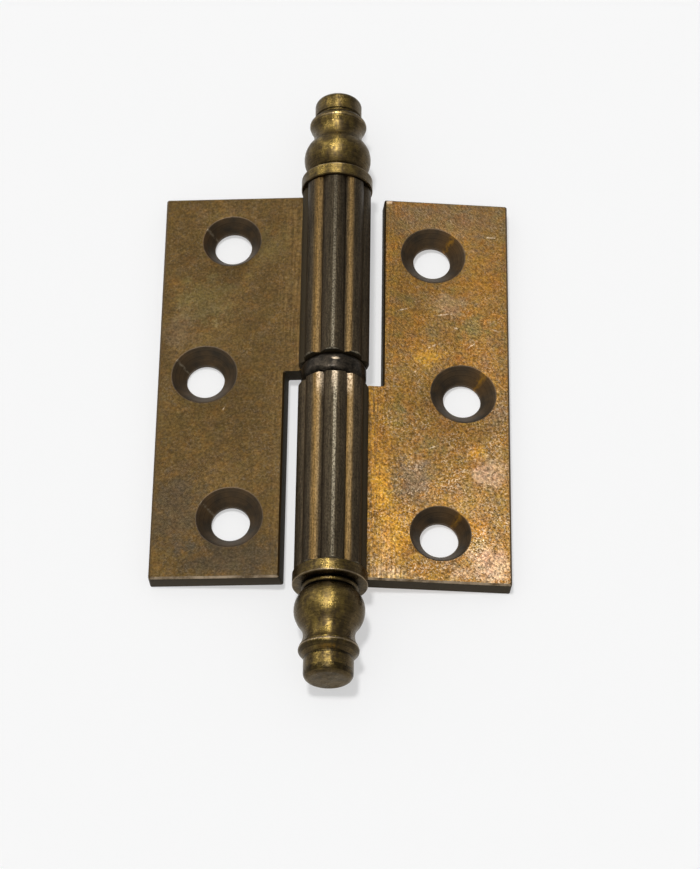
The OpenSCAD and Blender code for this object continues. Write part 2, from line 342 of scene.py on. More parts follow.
def shade_in_hollows(tree, base, tones, reach, share):
    """Darkens a colour with painted shade, nearly black, in grooves and corners that are about a reach in millimetres
    deep.
    """
    around = node(tree, "ShaderNodeAmbientOcclusion", {"Distance": reach * MM}, samples=8, only_local=True)
    shut = node(tree, "ShaderNodeMapRange", {0: around.outputs["AO"], 1: 0.85, 2: 0.4, 3: 0.0, 4: share})
    return laid_over(tree, base, tones.grime_and_shade, shut)


def drawn_brass(name, tones, face, *, brass, tarnish, drawn, hues, rubbed_sheen_corner, far_grit, near_grit):
    """Brass plate, drawn through a die and tarnished in use. It gives the eye mottled brown and gold with bloom in
    patches, lines along the barrel, a fine grain, scratches and, towards one corner, a gritty grain with a painted
    sheen and painted glints. Hues says how much the tones differ, and the grits how strong the grain is far from that
    corner and near it."""
    material, tree, mm = new_material(name)
    flat = node(tree, "ShaderNodeVectorMath", {0: mm, 1: (1, 1, 0)}, operation="MULTIPLY")
    mottle = cloud(tree, mm, size=4.0, low=0.35, high=0.65, detail=8.0, rough=0.7)
    base = laid_over(tree, rgba(tarnish), brass, mottle)
    for shift, tone, share in (
        ((7, 0, 0), tones.olive, 0.5), ((0, 9, 0), tones.bloom, 1.0), ((6, 5, 0), tones.golden_tarnish, 1.0),
    ):
        veil = cloud(
            tree, mm, size=1.8, low=0.5, high=0.68, most=share * hues, detail=6.0, rough=0.65, shift=shift,
        )
        base = laid_over(tree, base, tone, veil)

    # Bloom in patches with ragged outlines
    ragged = cloud(tree, mm, size=1.6, low=0.2, high=0.8, least=-0.9, most=0.9, detail=6.0, rough=0.65)
    for middle, reach, tone, share in face["patches"]:
        base = laid_over(tree, base, getattr(tones, tone), spot(tree, flat, middle, reach, ragged), share)

    # Lines that the die drew beside the barrel, bright ones and dark furrows. They are finer on the hinge, and are
    # drawn about a third of a millimetre wide, or they would not show
    parts = node(tree, "ShaderNodeSeparateXYZ", {0: mm})
    beside = node(tree, "ShaderNodeMath", {0: parts.outputs["X"]}, operation="ABSOLUTE")
    near = node(tree, "ShaderNodeMapRange", {0: beside, 1: 9.5, 2: 5.5, 3: 0.0, 4: 0.6})
    line = cloud(tree, mm, size=0.35, low=0.42, high=0.6, stretch=(1.0, 0.06, 1.0))
    furrow = cloud(tree, mm, size=0.3, low=0.42, high=0.62, shift=(2, 0, 0), stretch=(1.0, 0.06, 1.0))
    base = laid_over(tree, base, drawn, near, line)
    base = laid_over(tree, base, tones.dull_tarnish, near, furrow)
    for middle, reach, share in face["bare_lines"]:
        base = laid_over(tree, base, tones.pale_brass, spot(tree, flat, middle, reach, ragged), line, share)

    # How near the rubbed corner, from 62 mm away to 2 mm from it, and a painted sheen that makes the brass paler there
    corner = node(tree, "ShaderNodeVectorMath", {0: flat, 1: rubbed_sheen_corner}, operation="DISTANCE")
    rubbed = node(tree, "ShaderNodeMapRange", {0: corner, 1: 62.0, 2: 2.0})
    sheen = node(tree, "ShaderNodeMath", {0: rubbed, 1: 2.5}, operation="POWER")
    base = shaded(tree, base, sheen, least=1.0, most=1.0 + 0.9 * near_grit)

    # Grain, light and dark. The real one is finer, and is drawn at a third of a millimetre so that it shows
    grain = cloud(tree, mm, size=0.36, low=0.32, high=0.68, least=-1.0, most=1.0, rough=0.6)
    depth = node(tree, "ShaderNodeMapRange", {0: rubbed, 3: far_grit, 4: near_grit})
    shade = node(tree, "ShaderNodeMath", {0: grain, 1: depth, 2: 1.0}, operation="MULTIPLY_ADD")
    base = node(tree, "ShaderNodeMix", {0: 1.0, 6: base, 7: shade}, data_type="RGBA", blend_type="MULTIPLY")

    # Flecks of other hues
    motley = node(tree, "ShaderNodeTexNoise", {"Vector": mm, "Scale": 1 / 1.6, "Detail": 5.0, "Roughness": 0.55})
    motley = node(tree, "ShaderNodeVectorMath", {0: motley.outputs["Color"], 3: 2.0}, operation="SCALE")
    base = node(
        tree, "ShaderNodeMix", {0: 0.35 * hues, 6: base, 7: motley}, data_type="RGBA", blend_type="MULTIPLY",
    )

    # Pits and hairlines, dark, and pale hairlines of bare brass with pale specks that are painted glints, all in
    # drifts;
    # the pale ones grow with the painted sheen. Pits and specks are drawn a few times their real size, so that they
    # show
    drift = cloud(tree, mm, size=3.0, low=0.42, high=0.65, least=0.35, shift=(3, 8, 0))
    broken = cloud(tree, mm, size=0.8, low=0.48, high=0.6, shift=(2, 6, 0))
    pit = cloud(tree, mm, size=0.4, low=0.58, high=0.7, most=0.4, rough=0.65, shift=(5, 1, 0))
    base = laid_over(tree, base, tones.dull_tarnish, pit, drift)
    dark_hair = hairline(tree, mm, size=0.9, width=0.025, shift=(1, 7, 0))
    base = laid_over(tree, base, tones.dark_tarnish, dark_hair, broken, 0.4)
    glint_speck = cloud(tree, mm, size=0.25, low=0.53, high=0.66, detail=2.0, rough=0.6, shift=(9, 4, 0))
    pale_hair = hairline(tree, mm, size=1.1, width=0.03, shift=(4, 2, 0))
    pale_hair = node(tree, "ShaderNodeMath", {0: pale_hair, 1: broken}, operation="MULTIPLY")
    bare = node(tree, "ShaderNodeMath", {0: glint_speck, 1: pale_hair}, operation="MAXIMUM")
    much = node(tree, "ShaderNodeMapRange", {0: sheen, 3: 0.14 * near_grit, 4: 1.1 * near_grit})
    base = laid_over(tree, base, tones.pale_brass, bare, drift, much)

    # Scratches with jagged outlines
    jagged = cloud(tree, mm, size=0.4, low=0.25, high=0.75, least=-0.7, most=1.6)
    for middle, turn, half_length in face["scratches"]:
        scratch = spot(tree, flat, middle, (half_length, SCRATCH_HALF_WIDTH), jagged, turn)
        base = laid_over(tree, base, tones.pale_brass, scratch, 0.4)

    rough = node(tree, "ShaderNodeMapRange", {0: grain, 1: -1.0, 2: 1.0, 3: 0.56, 4: 0.46})
    bump = node(tree, "ShaderNodeBump", {"Strength": 1.0, "Distance": 0.02 * near_grit * MM, "Height": grain})
    shader = node(tree, "ShaderNodeBsdfPrincipled", {
        "Base Color": base, "Metallic": 0.92, "Roughness": rough, "Normal": bump,
    })
    node(tree, "ShaderNodeOutputMaterial", {"Surface": shader})
    return material


def sawn_brass(name, tones):
    """Sawn edges of the leaves. They give the eye nearly black, dull tarnish that is rubbed through in flecks."""
    material, tree, mm = new_material(name)
    fleck = cloud(tree, mm, size=0.6, low=0.6, high=0.75, most=0.6)
    base = laid_over(tree, rgba(tones.sawn), tones.dull_brass, fleck)
    shader = node(tree, "ShaderNodeBsdfPrincipled", {
        "Base Color": base, "Metallic": 0.2, "Roughness": 0.7, "Specular IOR Level": 0.15,
    })
    node(tree, "ShaderNodeOutputMaterial", {"Surface": shader})
    return material


def rubbed_lit_arris(name, tones):
    """Arrises that hands rub. They give the eye tarnish, and where they face the front a thin broken line of rubbed
    brass with a painted highlight.
    """
    material, tree, mm = new_material(name)
    # Painted highlight where the arrises face the front, on brass that hands rub
    front = facing(tree, (0.1, -1, 0.6), low=0.7, high=0.95)
    broken = cloud(tree, mm, size=2.0, low=0.4, high=0.6, least=0.1, most=0.6, detail=6.0, rough=0.65)
    base = laid_over(tree, rgba(tones.arris), tones.pale_brass, front, broken)
    shader = node(tree, "ShaderNodeBsdfPrincipled", {"Base Color": base, "Metallic": 0.9, "Roughness": 0.45})
    node(tree, "ShaderNodeOutputMaterial", {"Surface": shader})
    return material


def countersunk_brass(name, tones, *, glint_at, glint_tone, glint_reach, glint_share, glint_halo):
    """Countersinks as a cutter left them, tarnished since. They give the eye brown walls with faint rings, and a
    painted highlight down the slope at one angle, where the rings catch the light, with a painted warmer glow on both
    sides of it. Its place and reach are in degrees."""
    material, tree, mm = new_material(name)
    polar = node(tree, "ShaderNodeUVMap", uv_map=POLAR)
    parts = node(tree, "ShaderNodeSeparateXYZ", {0: polar})
    patch = cloud(tree, mm, size=2.0, low=0.25, high=0.75)
    base = laid_over(tree, rgba(tones.dark_tarnish), tones.sink_brown, patch)

    # Rings from the cutter, drawn about a pixel wide, which is coarser than they are, so that they show
    radius = node(tree, "ShaderNodeCombineXYZ", {0: parts.outputs["Y"]})
    ring = cloud(tree, radius, size=0.12, low=0.35, high=0.65, least=0.8, most=1.2, detail=1.0)
    base = node(tree, "ShaderNodeMix", {0: 1.0, 6: base, 7: ring}, data_type="RGBA", blend_type="MULTIPLY")

    # Painted highlight down the slope at one angle, and a painted warmer glow on both sides of it
    away = node(tree, "ShaderNodeMath", {0: parts.outputs["X"], 1: glint_at}, operation="SUBTRACT")
    away = node(tree, "ShaderNodeMath", {0: away}, operation="ABSOLUTE")
    beside = node(tree, "ShaderNodeMapRange", {0: away, 1: 40.0, 2: 5.0, 3: 0.0, 4: glint_halo})
    base = laid_over(tree, base, tones.golden_tarnish, beside)
    scratch = node(tree, "ShaderNodeMapRange", {0: away, 1: glint_reach, 2: 0.0, 3: 0.0, 4: glint_share})
    base = laid_over(tree, base, glint_tone, scratch, cloud(tree, mm, size=0.5, low=0.4, high=0.6))
    bump = node(tree, "ShaderNodeBump", {"Strength": 0.6, "Distance": 0.01 * MM, "Height": ring})
    shader = node(tree, "ShaderNodeBsdfPrincipled", {
        "Base Color": base, "Metallic": 0.7, "Roughness": 0.5, "Normal": bump,
        "Specular Tint": rgba(tones.glancing),
    })
    node(tree, "ShaderNodeOutputMaterial", {"Surface": shader})
    return material


def reeded_brass(name, tones):
    """Reeds drawn through a die. They give the eye fine streaks along the barrel, brown on the uppermost reed and
    golden on the others, painted shade on their sides, nearly black on the right ones, and broken lines of polish with
    a painted highlight along the crests."""
    material, tree, mm = new_material(name)

    # Streaks and grain are drawn about a fifth of a millimetre wide, coarser than they are, so that they show
    streak = cloud(tree, mm, size=0.18, low=0.3, high=0.7, stretch=(1.0, 0.05, 1.0))
    grain = cloud(tree, mm, size=0.2, low=0.3, high=0.7, detail=2.0, rough=0.65, stretch=(1.0, 0.6, 1.0))

    # How near to the top of the barrel
    away = node(tree, "ShaderNodeVectorMath", {0: mm, 1: AXIS_POINT / MM}, operation="SUBTRACT")
    across = node(tree, "ShaderNodeVectorMath", {0: away, 1: (1, 0, 1)}, operation="MULTIPLY")
    outward = node(tree, "ShaderNodeVectorMath", {0: across}, operation="NORMALIZE")
    height = node(tree, "ShaderNodeSeparateXYZ", {0: outward})
    upper = node(tree, "ShaderNodeMapRange", {0: height.outputs["Z"], 1: 0.9, 2: 0.95})
    base = laid_over(tree, rgba(tones.reed_gold), tones.reed_brown, upper)

    # Painted shade on the sides of the reeds, darkest on the right ones; the brass shows only where they face up
    crestward = node(
        tree, "ShaderNodeVectorMath", {0: outward, 1: (-0.3, 0, 0), 2: (0, 0, 1)}, operation="MULTIPLY_ADD",
    )
    normal = node(tree, "ShaderNodeTexCoord").outputs["Normal"]
    lean = node(tree, "ShaderNodeVectorMath", {0: crestward, 1: normal}, operation="DOT_PRODUCT")
    ridge = node(tree, "ShaderNodeMapRange", {0: lean, 1: 0.93, 2: 1.0}, interpolation_type="SMOOTHSTEP")
    lit_top = node(tree, "ShaderNodeMapRange", {0: lean, 1: 0.72, 2: 0.98}, interpolation_type="SMOOTHSTEP")
    left = facing(tree, (-1, 0, 0), low=-0.35, high=-0.05)
    lit_top = node(tree, "ShaderNodeMath", {0: lit_top, 1: left}, operation="MULTIPLY")
    base = node(tree, "ShaderNodeMix", {0: lit_top, 6: rgba(tones.reed_side_shade), 7: base}, data_type="RGBA")

    # Painted sheen: the reeds are lighter towards the middle of the hinge, and on the lower knuckle more than the upper
    # one
    parts = node(tree, "ShaderNodeSeparateXYZ", {0: mm})
    along = node(tree, "ShaderNodeMath", {0: parts.outputs["Y"]}, operation="ABSOLUTE")
    middle = node(tree, "ShaderNodeMapRange", {0: along, 1: 28.0, 2: 3.0, 3: 0.35, 4: 1.0})
    lower = node(tree, "ShaderNodeMapRange", {0: parts.outputs["Y"], 1: 1.0, 2: -1.0, 3: 0.5, 4: 1.0})
    middle = node(tree, "ShaderNodeMath", {0: middle, 1: lower}, operation="MULTIPLY")
    for pattern, least, most in ((middle, 0.75, 1.3), (streak, 0.6, 1.4), (grain, 0.55, 1.45)):
        base = shaded(tree, base, pattern, least, most)

    # Crests, polished in broken streaks that carry a painted highlight, most of all on the uppermost reed
    worn = node(tree, "ShaderNodeMapRange", {0: grain, 1: 0.3, 2: 0.7, 3: 0.2, 4: 1.0})
    much = node(tree, "ShaderNodeMapRange", {0: upper, 3: 0.15, 4: 0.62})
    for part in (facing(tree, (0.02, 0, 1), low=0.986, high=0.9995), much, middle):
        worn = node(tree, "ShaderNodeMath", {0: worn, 1: part}, operation="MULTIPLY")
    base = laid_over(tree, base, tones.reed_highlight_grey, worn)
    base = shade_in_hollows(tree, base, tones, reach=0.7, share=1.0)

    # Rounded ends in painted shade, with painted highlights on their rims, and a painted highlight on the lower
    # knuckle's reeds beside the washer, most of all 2.2 mm below the middle of the hinge
    domed = facing(tree, (0, -1, 1), low=0.7, high=0.92)
    base = laid_over(tree, base, tones.grime_and_shade, domed)
    radius = node(tree, "ShaderNodeVectorMath", {0: across}, operation="LENGTH")
    rim = node(tree, "ShaderNodeMapRange", {0: radius, 1: 4.55, 2: 4.68})
    base = laid_over(tree, base, tones.reed_highlight_grey, rim, domed, grain)
    beside = node(tree, "ShaderNodeMath", {0: parts.outputs["Y"], 1: 2.2}, operation="ADD")
    beside = node(tree, "ShaderNodeMath", {0: beside}, operation="ABSOLUTE")
    bare = node(tree, "ShaderNodeMapRange", {0: beside, 1: 3.2, 2: 0.2, 3: 0.0, 4: 0.75})
    base = laid_over(tree, base, tones.pale_brass, bare, ridge, grain)

    rough = node(tree, "ShaderNodeMapRange", {0: worn, 3: 0.5, 4: 0.3})
    relief = node(tree, "ShaderNodeMath", {0: streak, 1: grain}, operation="ADD")
    bump = node(tree, "ShaderNodeBump", {"Strength": 0.8, "Distance": 0.02 * MM, "Height": relief})
    shader = node(tree, "ShaderNodeBsdfPrincipled", {
        "Base Color": base, "Metallic": 0.92, "Roughness": rough, "Normal": bump,
    })
    node(tree, "ShaderNodeOutputMaterial", {"Surface": shader})
    return material


def turned_brass(name, tones):
    """Finials turned on a lathe. They give the eye rings that spread the highlights round them, gold in patches on the
    faces that look up, which are painted as lit, and brown elsewhere, so that the sides look shaded, with pits, and
    painted shade in the grooves."""
    material, tree, mm = new_material(name)

    # Rings and pits are drawn at 0.16 and 0.3 mm, coarser than they are, so that they show
    ring = cloud(tree, mm, size=0.16, low=0.32, high=0.68, rough=0.65, stretch=(0.12, 1.0, 0.12))
    pit = cloud(tree, mm, size=0.3, low=0.56, high=0.68, most=0.5, rough=0.65)
    patch = cloud(tree, mm, size=1.1, low=0.4, high=0.62, detail=6.0, rough=0.7, stretch=(1.0, 0.6, 1.0))
    # Painted light: gold only where the finial faces up, a little to the left and front; its sides are shaded brown
    front = facing(tree, (-0.15, -0.1, 1), low=0.55, high=0.97)
    base = laid_over(tree, rgba(tones.turned_tarnish), tones.turned_brass, front, patch)
    base = shaded(tree, base, ring, least=0.6, most=1.4)
    base = laid_over(tree, base, tones.grime_and_shade, pit)
    base = shade_in_hollows(tree, base, tones, reach=1.3, share=0.95)

    # Bands of painted shade and of painted highlight, weaker on the upper finial
    half = (CAD_BOX[1].y - CAD_BOX[0].y) / 2 / MM
    centre = (CAD_BOX[1].y + CAD_BOX[0].y) / 2 / MM
    along = node(tree, "ShaderNodeSeparateXYZ", {0: mm}).outputs["Y"]
    away = node(tree, "ShaderNodeMath", {0: along, 1: centre}, operation="SUBTRACT")
    away = node(tree, "ShaderNodeMath", {0: away}, operation="ABSOLUTE")
    broken = cloud(tree, mm, size=0.9, low=0.35, high=0.6, least=0.4)
    for from_end, reach, share, tone in FINIAL_BANDS:
        band = node(tree, "ShaderNodeMath", {0: away, 1: half - from_end, 2: reach}, operation="COMPARE")
        much = node(tree, "ShaderNodeMapRange", {0: along, 1: -1.0, 2: 1.0, 3: share, 4: 0.4 * share})
        base = laid_over(tree, base, getattr(tones, tone), band, broken, much)

    # A painted reflection on the slope under the rim, 3.3 mm from the end, where it faces the front
    slope = node(tree, "ShaderNodeMath", {0: away, 1: half - 3.3}, operation="SUBTRACT")
    slope = node(tree, "ShaderNodeMath", {0: slope}, operation="ABSOLUTE")
    slope = node(tree, "ShaderNodeMapRange", {0: slope, 1: 0.35, 2: 0.0, 3: 0.0, 4: 1.0})
    slope_reflection = facing(tree, (0, -0.74, 0.67), low=0.93, high=1.0)
    base = laid_over(tree, base, tones.bright_gold, slope, slope_reflection, patch)

    rough = node(tree, "ShaderNodeMapRange", {0: patch, 3: 0.42, 4: 0.2})
    around = node(tree, "ShaderNodeTangent", direction_type="RADIAL", axis="Y")
    relief = node(tree, "ShaderNodeMath", {0: ring, 1: pit}, operation="SUBTRACT")
    bump = node(tree, "ShaderNodeBump", {"Strength": 0.8, "Distance": 0.022 * MM, "Height": relief})
    shader = node(tree, "ShaderNodeBsdfPrincipled", {
        "Base Color": base, "Metallic": 0.95, "Roughness": rough, "Normal": bump,
        "Specular Tint": rgba(tones.glancing),
        "Anisotropic": 0.7, "Anisotropic Rotation": 0.25, "Tangent": around,
    })
    node(tree, "ShaderNodeOutputMaterial", {"Surface": shader})
    return material


def dark_washer(name, tones):
    """Turned brass washer gone dark with oil and wear. It gives the eye a low gloss, and a small glint on its crown."""
    material, tree, mm = new_material(name)
    flat = node(tree, "ShaderNodeVectorMath", {0: mm, 1: (1, 1, 0)}, operation="MULTIPLY")
    base = laid_over(tree, rgba(tones.grime_and_shade), tones.washer_brass, cloud(tree, mm, size=0.8, low=0.35, high=0.7))

    # Grain, drawn at a quarter of a millimetre, coarser than it is, so that it shows
    grain = cloud(tree, mm, size=0.25, low=0.32, high=0.68, least=0.6, most=1.4)
    base = node(tree, "ShaderNodeMix", {0: 1.0, 6: base, 7: grain}, data_type="RGBA", blend_type="MULTIPLY")
    ragged = cloud(tree, mm, size=0.4, low=0.25, high=0.75, least=-0.5, most=0.5)
    glint = spot(tree, flat, middle=(0.3, 0.35), reach=(0.55, 0.18), wander=ragged)
    for part in (facing(tree, (0, 0, 1), low=0.5, high=0.9), 0.4):
        glint = node(tree, "ShaderNodeMath", {0: glint, 1: part}, operation="MULTIPLY")
    base = laid_over(tree, base, tones.pale_brass, glint)
    rough = node(tree, "ShaderNodeMapRange", {0: glint, 3: 0.34, 4: 0.22})
    bump = node(tree, "ShaderNodeBump", {"Strength": 0.7, "Distance": 0.015 * MM, "Height": grain})
    shader = node(tree, "ShaderNodeBsdfPrincipled", {
        "Base Color": base, "Metallic": 0.85, "Roughness": rough, "Normal": bump,
    })
    node(tree, "ShaderNodeOutputMaterial", {"Surface": shader})
    return material


def ground_steel(name, tones):
    """Ground steel pin. It gives the eye grey metal with lines round it, drawn at 0.12 mm so that they show."""
    material, tree, mm = new_material(name)
    line = cloud(tree, mm, size=0.12, low=0.3, high=0.7, least=0.75, detail=2.0, stretch=(0.1, 1.0, 0.1))
    base = node(
        tree, "ShaderNodeMix", {0: 1.0, 6: rgba(tones.pin_steel), 7: line}, data_type="RGBA", blend_type="MULTIPLY",
    )
    shader = node(tree, "ShaderNodeBsdfPrincipled", {"Base Color": base, "Metallic": 1.0, "Roughness": 0.3})
    node(tree, "ShaderNodeOutputMaterial", {"Surface": shader})
    return material


def cad_copy(source, name):
    """Starts a piece as a merged copy of a CAD node and leaves it in edit mode with nothing selected."""
    bpy.ops.object.select_all(action="DESELECT")
    piece = bpy.data.objects.new(name, frame["nodes"][source].data.copy())
    bpy.context.scene.collection.objects.link(piece)
    bpy.context.view_layer.objects.active = piece
    piece.select_set(True)
    bpy.ops.mesh.customdata_custom_splitnormals_clear()
    bpy.ops.object.mode_set(mode="EDIT")
    bpy.ops.mesh.select_mode(type="EDGE")
    bpy.ops.mesh.select_all(action="SELECT")
    bpy.ops.mesh.remove_doubles(threshold=0.0001 * MM)
    bpy.ops.mesh.dissolve_limited(angle_limit=math.radians(0.3))
    bpy.ops.mesh.select_all(action="DESELECT")
    return piece


def select_edges(piece, wanted):
    """Selects the edges for which wanted holds, and says how many there are."""
    mesh = bmesh.from_edit_mesh(piece.data)
    count = 0
    for edge in mesh.edges:
        chosen = wanted(edge)
        edge.select_set(chosen)
        count += chosen
    bmesh.update_edit_mesh(piece.data)
    return count


def give_materials(piece, materials):
    """Ends the modelling of a piece and gives it its own materials in place of the CAD's."""
    bpy.ops.object.mode_set(mode="OBJECT")
    piece.data.materials.clear()
    for material in materials:
        piece.data.materials.append(material)


def put_in_place(piece, source):
    """A finished piece stands for its CAD node, and moves as that node does."""
    bpy.ops.object.shade_smooth_by_angle(angle=SHARP_FROM)
    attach(piece, BODY_OF[source])
    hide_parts(source)


class Leaf:
    """Where a leaf lies: its axes and its holes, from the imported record."""

    def __init__(self, side):
        self.holes = [MOUNTS[f"{side}_{place}_hole"] for place in ("knuckle", "middle", "far")]
        self.up = Vector(self.holes[0]["axis"])
        self.out = AXIS.cross(self.up)
        if self.out.dot(Vector(self.holes[0]["pos_m"]) - AXIS_POINT) < 0:
            self.out.negate()

    def reach(self, point):
        """How far a point lies out from the barrel's axis along the leaf."""
        return (point - AXIS_POINT).dot(self.out)

    def nearest_hole(self, point):
        """From the nearest hole's axis to a point, square to that axis."""
        gaps = []
        for hole in self.holes:
            away = point - Vector(hole["pos_m"])
            gaps.append(away - away.dot(self.up) * self.up)
        return min(gaps, key=lambda gap: gap.length)

    def at_hole(self, point):
        """Whether a point lies in a countersink or on its rim."""
        return self.nearest_hole(point).length < SINK_R

    def level(self, face):
        """How far a face looks up out of the leaf: 1 for its front, -1 for its back."""
        return face.normal.dot(self.up)


class HINGE_OT_leaves(bpy.types.Operator):
    """Dresses both leaves: copies of the solids with worn edges, in drawn and tarnished brass"""
    bl_idname = "hinge.leaves"
    bl_label = "Leaves"

    def execute(self, context):
        sizes, tones = context.scene.hinge_sizes, context.scene.hinge_colours
        # Partly painted light: the right leaf is painted as lit, with a sheen by its rubbed corner, the left as shaded
        dull = drawn_brass(
            "drawn_brass_dull", tones, DULL_FACE,
            brass=tones.dull_brass, tarnish=tones.dull_tarnish, drawn=tones.reed_gold, hues=0.2,
            rubbed_sheen_corner=(200, 0, 0), far_grit=0.28, near_grit=0.3,
        )
        golden = drawn_brass(
            "drawn_brass_golden", tones, GOLDEN_FACE,
            brass=tones.golden_brass, tarnish=tones.golden_tarnish, drawn=tones.bright_gold, hues=0.55,
            rubbed_sheen_corner=(25, -31, 0), far_grit=0.25, near_grit=0.75,
        )
        shared = (
            sawn_brass("sawn_brass", tones), rubbed_lit_arris("rubbed_lit_arris", tones), reeded_brass("reeded_brass", tones),
        )
        dull_sink = countersunk_brass(
            "countersunk_brass_dull", tones,
            glint_at=150, glint_tone=tones.reed_highlight_grey, glint_reach=5, glint_share=0.4, glint_halo=0.05,
        )
        golden_sink = countersunk_brass(
            "countersunk_brass_golden", tones,
            glint_at=48, glint_tone=tones.bright_gold, glint_reach=10, glint_share=1.0, glint_halo=0.3,
        )
        self.dress("upper", (dull, *shared, dull_sink), sizes)
        self.dress("lower", (golden, *shared, golden_sink), sizes)
        return {"FINISHED"}

    def dress(self, side, materials, sizes):
        """Makes one leaf, wears its edges and paints its faces by where they are."""
        source = f"{side}_leaf"
        leaf = Leaf(side)
        piece = cad_copy(source, f"dressed_{source}")
        self.wear(piece, leaf, sizes)
        give_materials(piece, materials)
        mesh = piece.data
        mesh.uv_layers.new(name=POLAR)
        for polygon in mesh.polygons:
            polygon.material_index = self.kind(polygon, leaf)
        self.map_countersinks(mesh, leaf)
        put_in_place(piece, source)

    def wear(self, piece, leaf, sizes):
        """Rounds the upright corners, the rims of the countersinks and the edges of the back, clear of the barrel. A
        side of the leaf has a level near 0, and the slope of a countersink one well below 0.9."""
        def plain(edge):
            middle = (edge.verts[0].co + edge.verts[1].co) / 2
            return len(edge.link_faces) == 2 and leaf.reach(middle) > 1.2 * BARREL_R

        def corner(edge):
            levels = [abs(leaf.level(face)) for face in edge.link_faces]
            along = (edge.verts[0].co - edge.verts[1].co).normalized()
            upright = abs(along.dot(leaf.up)) > 0.3 and edge.calc_face_angle() > math.radians(40)
            return max(levels) < 0.8 and upright and not leaf.at_hole(edge.verts[0].co)

        def rim(edge):
            levels = sorted(leaf.level(face) for face in edge.link_faces)
            return levels[1] > NEARLY_STRAIGHT and levels[0] < 0.9 and leaf.at_hole(edge.verts[0].co)

        def back(edge):
            levels = sorted(leaf.level(face) for face in edge.link_faces)
            return levels[0] < -NEARLY_STRAIGHT and levels[1] > -0.5 and not leaf.at_hole(edge.verts[0].co)

        for wanted, width in ((corner, sizes.corner_wear), (rim, sizes.rim_wear), (back, sizes.back_wear)):
            if not select_edges(piece, lambda edge: plain(edge) and wanted(edge)):
                raise RuntimeError(f"{piece.name}: no edges to wear")
            bpy.ops.mesh.bevel(offset=width, segments=3, affect="EDGES", clamp_overlap=True)
            bpy.ops.mesh.select_all(action="DESELECT")

    def kind(self, polygon, leaf):
        """Which of a leaf's materials a face takes. An arris is a worn edge that still looks partly up."""
        face, edge, arris, reeds, sink = range(5)
        reach, level = leaf.reach(polygon.center), leaf.level(polygon)
        if leaf.at_hole(polygon.center) and abs(level) < NEARLY_STRAIGHT:
            return sink
        if abs(level) > STRAIGHT and reach > BARREL_R / 2:
            return face
        if reach > BARREL_R and level > 0.3:
            return arris
        if reach > BARREL_R * 0.8 or abs(polygon.normal.dot(AXIS)) > STRAIGHT:
            return edge
        return reeds

    def map_countersinks(self, mesh, leaf):
        """Lays the polar map on the faces round the holes, with no jump inside a face where the angle starts anew."""
        layer = mesh.uv_layers[POLAR].data
        across = Vector((1, 0, 0))
        for polygon in mesh.polygons:
            if not leaf.at_hole(polygon.center):
                continue
            middle = leaf.nearest_hole(polygon.center)
            start = math.degrees(math.atan2(middle.dot(AXIS), middle.dot(across)))
            for loop in polygon.loop_indices:
                gap = leaf.nearest_hole(mesh.vertices[mesh.loops[loop].vertex_index].co)
                turn = math.degrees(math.atan2(gap.dot(AXIS), gap.dot(across))) - start
                layer[loop].uv = (start + (turn + 180) % 360 - 180, gap.length / MM)


class HINGE_OT_finials(bpy.types.Operator):
    """Dresses both finials in turned brass"""
    bl_idname = "hinge.finials"
    bl_label = "Finials"

    def execute(self, context):
        material = turned_brass("turned_brass", context.scene.hinge_colours)
        for source in ("upper_finial", "lower_finial"):
            piece = cad_copy(source, f"dressed_{source}")
            give_materials(piece, [material])
            put_in_place(piece, source)
        return {"FINISHED"}


class HINGE_OT_washer(bpy.types.Operator):
    """Dresses the washer between the knuckles"""
    bl_idname = "hinge.washer"
    bl_label = "Washer"

    def execute(self, context):
        piece = cad_copy("thrust_washer", "dressed_washer")
        give_materials(piece, [dark_washer("dark_washer_brass", context.scene.hinge_colours)])
        put_in_place(piece, "thrust_washer")
        return {"FINISHED"}


class HINGE_OT_pin(bpy.types.Operator):
    """Gives the pin its ground steel"""
    bl_idname = "hinge.pin"
    bl_label = "Pin"

    def execute(self, context):
        steel = ground_steel("ground_steel", context.scene.hinge_colours)
        for slot in frame["nodes"]["hinge_pin"].material_slots:
            slot.material = steel
        return {"FINISHED"}


